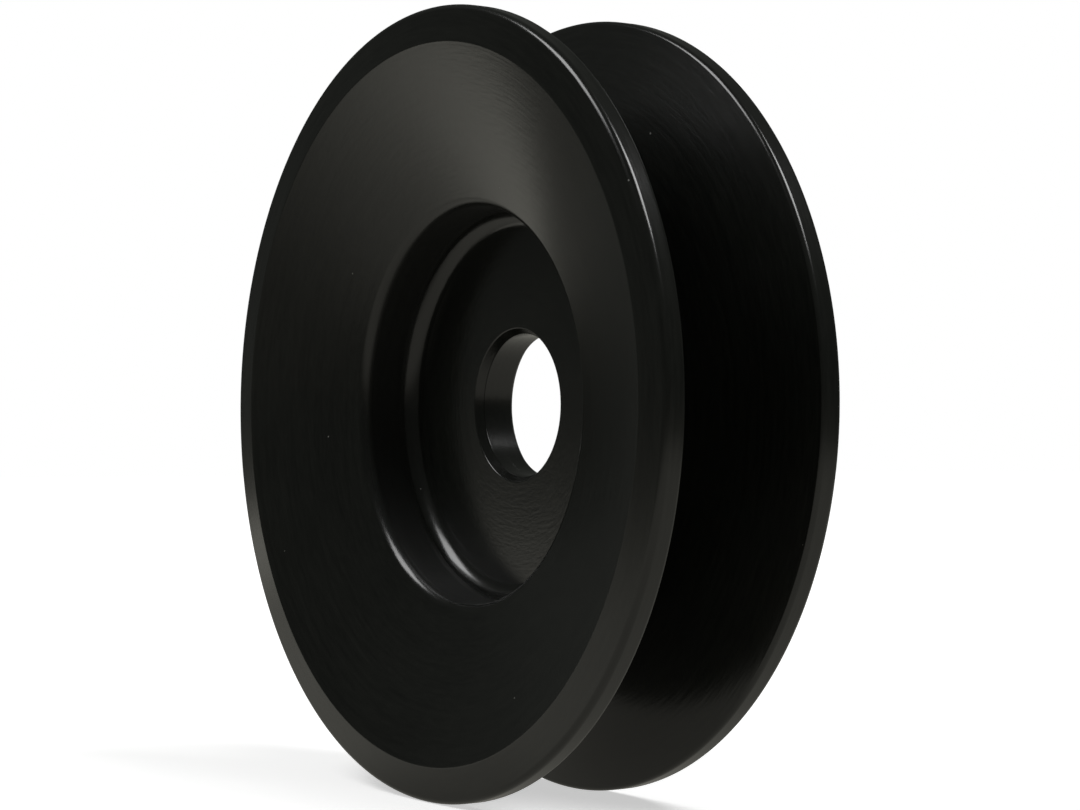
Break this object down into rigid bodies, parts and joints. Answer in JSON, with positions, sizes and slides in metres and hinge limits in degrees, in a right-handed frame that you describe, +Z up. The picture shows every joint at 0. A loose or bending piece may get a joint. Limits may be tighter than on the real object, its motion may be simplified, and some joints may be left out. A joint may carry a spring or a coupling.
{
  "type": "v belt pulley",
  "caption": "Single-groove V-belt pulley: two black steel half shells welded web to web, with a dished front, a deep nut cup and a plain shaft bore.",
  "frame": {"origin": "on the shaft axis, in the centre plane of the belt groove, which is also the middle of the overall box", "axes": "+Y along the shaft axis, from the open nut cup in front to the shallow recess behind; +Z up; +X to the right seen from the front"},
  "size_m": [0.092, 0.0242, 0.092],
  "materials": {
    "black_coating": "satin black coating over turned steel",
    "weld_steel": "bare fused steel, hidden between the webs"
  },
  "bodies": {
    "root": {"front_half": "black_coating", "rear_half": "black_coating", "weld_nuggets": "weld_steel"}
  },
  "joints": []
}
